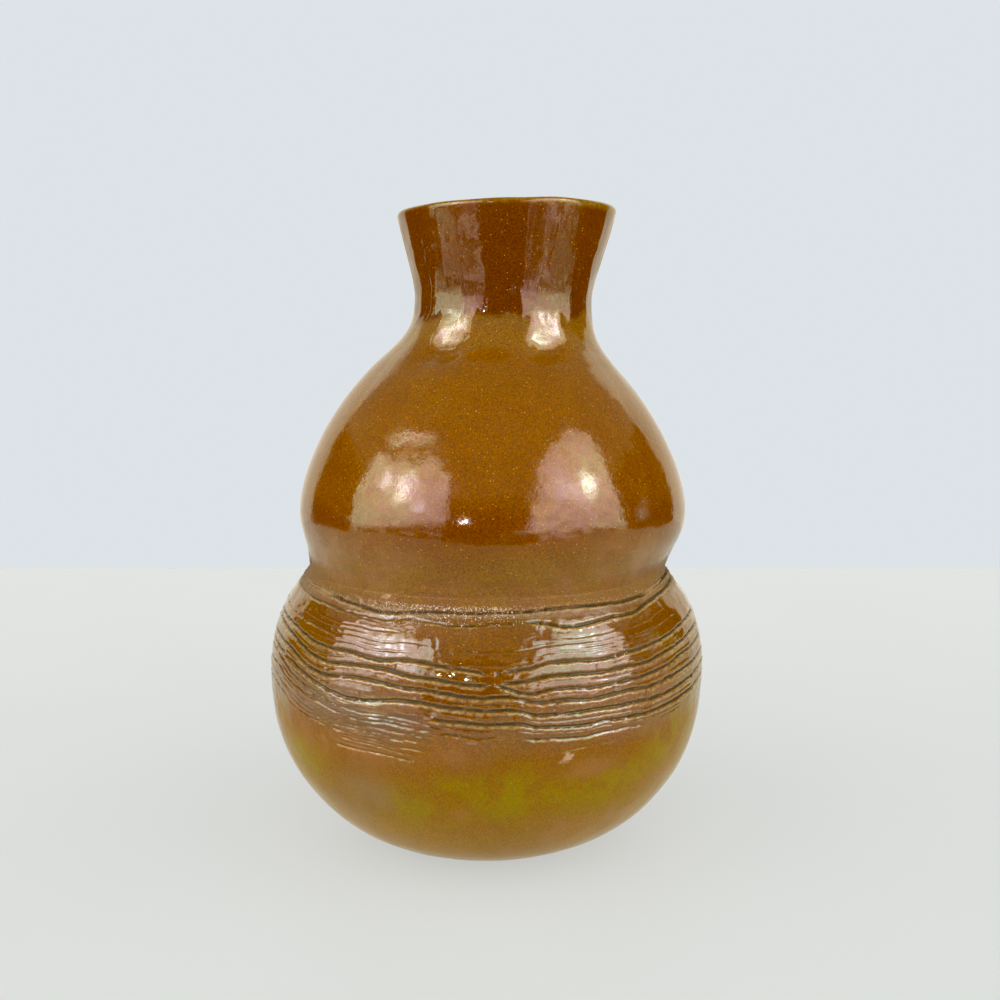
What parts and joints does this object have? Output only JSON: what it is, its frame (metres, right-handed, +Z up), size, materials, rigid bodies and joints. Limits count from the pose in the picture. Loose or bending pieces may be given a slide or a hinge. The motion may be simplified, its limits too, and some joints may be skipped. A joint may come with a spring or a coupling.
{
  "type": "beehive vase",
  "caption": "Hand-built gourd-shaped ceramic vase: wide lower bulb with a combed groove band, slimmer upper bulb and a short flared neck open at the top to hold flowers.",
  "frame": {"origin": "centre of the flat foot on the floor, on the axis of the lower bulb", "axes": "+Z up out of the mouth; -Y is the side seen in the picture; the neck leans towards +X, which is the picture's right"},
  "size_m": [0.1724, 0.1724, 0.2463],
  "materials": {
    "amber_lustre_glaze": "glossy transparent amber glaze with a thin metallic lustre over speckled clay",
    "olive_lustre_glaze": "the same glossy glaze, running to olive green and brown lower down, dark in the combed grooves",
    "thin_glazed_slip": "crumbly slip under a thin, broken glaze"
  },
  "bodies": {
    "root": {"floor_slab": "olive_lustre_glaze", "lower_bulb": "olive_lustre_glaze", "waist_slip_seam": "thin_glazed_slip", "upper_bulb": "amber_lustre_glaze", "neck_collar": "amber_lustre_glaze"}
  },
  "joints": []
}
